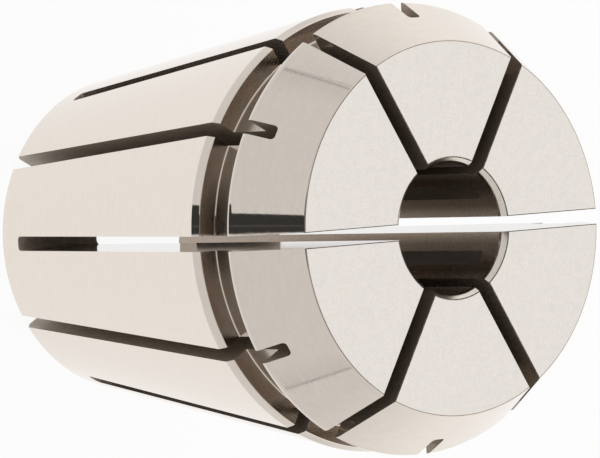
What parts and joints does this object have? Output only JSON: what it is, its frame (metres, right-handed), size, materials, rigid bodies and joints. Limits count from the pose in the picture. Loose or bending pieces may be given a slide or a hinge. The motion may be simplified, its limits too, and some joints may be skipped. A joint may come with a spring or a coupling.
{
  "type": "er collet",
  "caption": "Steel spring collet with a tapered body, nut groove, conical nose, straight bore and slots cut in turn from both ends.",
  "frame": {"origin": "centre of the small rear face, which the collet stands on", "axes": "+Z along the axis, out of the clamping face; +Y through one of the slots that are open at the clamping face"},
  "size_m": [0.033, 0.033, 0.04],
  "materials": {
    "ground_steel": "hardened spring steel, fine ground, with darker turned groove and slit walls"
  },
  "bodies": {
    "root": {"collet": "ground_steel"}
  },
  "joints": []
}
